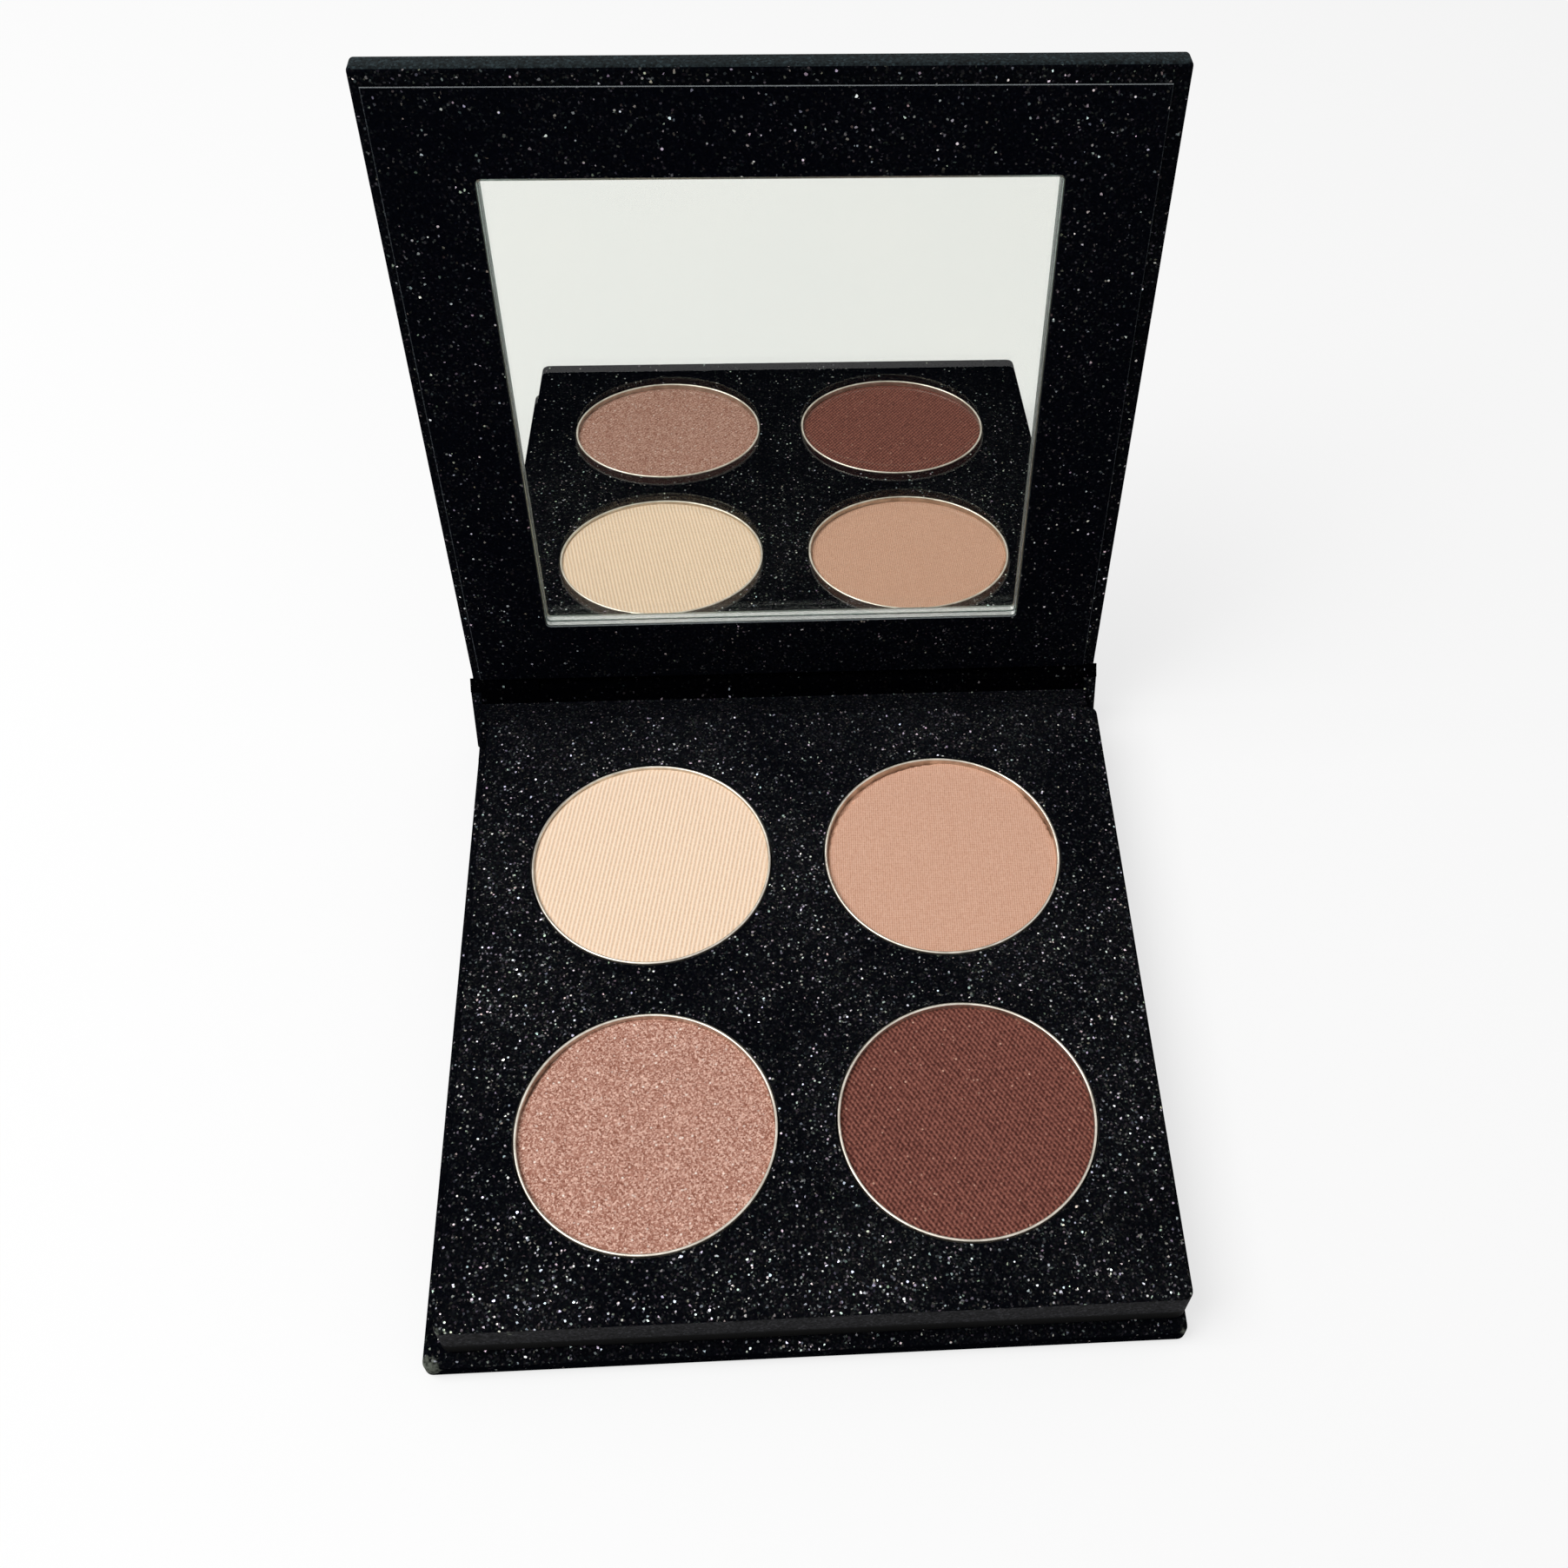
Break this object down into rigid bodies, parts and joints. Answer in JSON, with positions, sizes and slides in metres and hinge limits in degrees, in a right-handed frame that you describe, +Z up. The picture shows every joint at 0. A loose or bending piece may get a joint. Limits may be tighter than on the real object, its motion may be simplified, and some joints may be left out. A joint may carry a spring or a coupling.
{
  "type": "eyeshadow palette",
  "caption": "Square book-style cardboard palette with round pans of pressed powder, a mirror in the folding lid and a paper hinge.",
  "frame": {"origin": "middle of the base's underside, the face that the palette lies on", "axes": "+Z up out of the pans, -Y towards the user and the opening edge, +X to the user's right; the hinge is at +Y and runs along X"},
  "size_m": [0.0738, 0.0881, 0.0809],
  "materials": {
    "greyboard": "rough",
    "glitter_paper": "satin, glitter flakes",
    "tinplate": "satin",
    "steel": "satin",
    "tape": "satin",
    "cream_powder": "matte, pressed ribs",
    "tan_powder": "shimmer",
    "mauve_powder": "shimmer",
    "maroon_powder": "matte, pressed weave",
    "mirror_glass": "clear",
    "mirror_silver": "polished",
    "magnet": "nickel plated"
  },
  "bodies": {
    "base": {"base_board": "greyboard", "base_wrap": "glitter_paper", "tray_floor_card": "greyboard", "tray_lower_board": "greyboard", "tray_upper_board": "greyboard", "tray_wrap": "glitter_paper", "tray_keeper_discs": "steel", "pan_tape_discs": "tape", "pan_back_left": "tinplate", "pan_back_right": "tinplate", "pan_front_left": "tinplate", "pan_front_right": "tinplate", "powder_cream": "cream_powder", "powder_tan": "tan_powder", "powder_mauve": "mauve_powder", "powder_maroon": "maroon_powder", "liner_tray_crease": "glitter_paper", "lower_crease_paper": "glitter_paper"},
    "spine": {"spine_board": "greyboard", "spine_wrap": "glitter_paper", "liner_lid_crease": "glitter_paper", "upper_crease_paper": "glitter_paper"},
    "lid": {"lid_back_board": "greyboard", "lid_frame_board": "greyboard", "lid_wrap": "glitter_paper", "lid_liner": "glitter_paper", "mirror_glass": "mirror_glass", "mirror_backing": "mirror_silver", "mirror_tape": "tape", "lid_magnets": "magnet"}
  },
  "joints": [
    {"name": "spine_fold", "type": "hinge", "parent": "base", "child": "spine", "pos_m": [0, 0.0381, 0.0014], "axis": [-1, 0, 0], "range_deg": [-24, 8.6], "deforming": ["lower_crease_paper", "liner_tray_crease"]},
    {"name": "lid_fold", "type": "hinge", "parent": "spine", "child": "lid", "pos_m": [0, 0.04032, 0.00713], "axis": [-1, 0, 0], "range_deg": [-72.2, 25.5], "deforming": ["upper_crease_paper", "liner_lid_crease"]}
  ],
  "couplings": [
    {"joint": "spine_fold", "follows": "lid_fold", "ratio": 0.33241}
  ]
}
